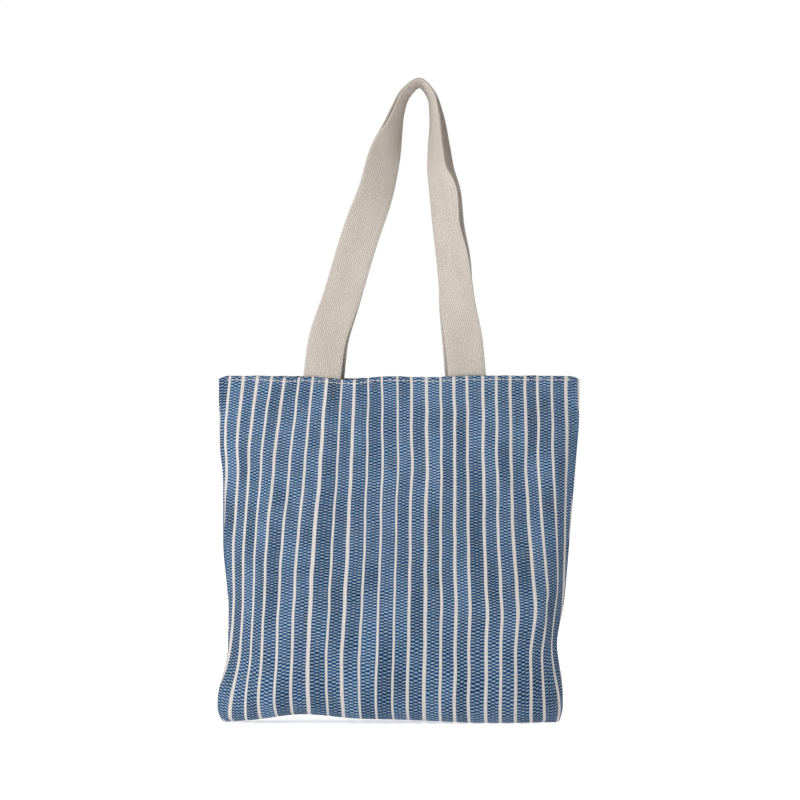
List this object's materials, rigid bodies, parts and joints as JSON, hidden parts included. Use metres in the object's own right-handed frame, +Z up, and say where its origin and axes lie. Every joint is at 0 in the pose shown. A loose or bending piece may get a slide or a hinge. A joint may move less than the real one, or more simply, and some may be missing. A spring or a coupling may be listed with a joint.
{
  "type": "tote bag",
  "caption": "Flat-cut canvas tote bag, lightly filled, open at the top, with a striped woven body and webbing handles that fold down over its front and back.",
  "frame": {"origin": "on the surface that the bag stands on, under the middle of its bounding box", "axes": "+Z up from the base to the handles, -Y out of the front panel, +X along the mouth to the right of someone who looks at the front"},
  "size_m": [0.369, 0.085, 0.66],
  "materials": {
    "canvas": "woven, navy dashes on pale blue with cream stripes",
    "webbing": "natural cotton twill webbing",
    "binding": "folded cotton tape",
    "natural_thread": "matte sewing thread",
    "navy_thread": "matte sewing thread"
  },
  "bodies": {
    "bag": {"front_panel": "canvas", "back_panel": "canvas", "front_hem_facing": "canvas", "back_hem_facing": "canvas", "left_seam_binding": "binding", "right_seam_binding": "binding", "bottom_seam_binding": "binding", "front_handle_left_end": "webbing", "front_handle_right_end": "webbing", "back_handle_left_end": "webbing", "back_handle_right_end": "webbing", "front_handle_stitching": "natural_thread", "back_handle_stitching": "natural_thread", "front_hem_stitching": "natural_thread", "back_hem_stitching": "natural_thread", "left_seam_stitching": "navy_thread", "right_seam_stitching": "navy_thread", "bottom_seam_stitching": "navy_thread"},
    "front_handle": {"front_handle": "webbing"},
    "back_handle": {"back_handle": "webbing"}
  },
  "joints": [
    {"name": "front_handle_swing", "type": "hinge", "parent": "bag", "child": "front_handle", "pos_m": [-0.0037, -0.019, 0.352], "axis": [1, 0, 0], "range_deg": [0, 165]},
    {"name": "back_handle_swing", "type": "hinge", "parent": "bag", "child": "back_handle", "pos_m": [-0.0037, 0.019, 0.352], "axis": [-1, 0, 0], "range_deg": [0, 165]}
  ]
}
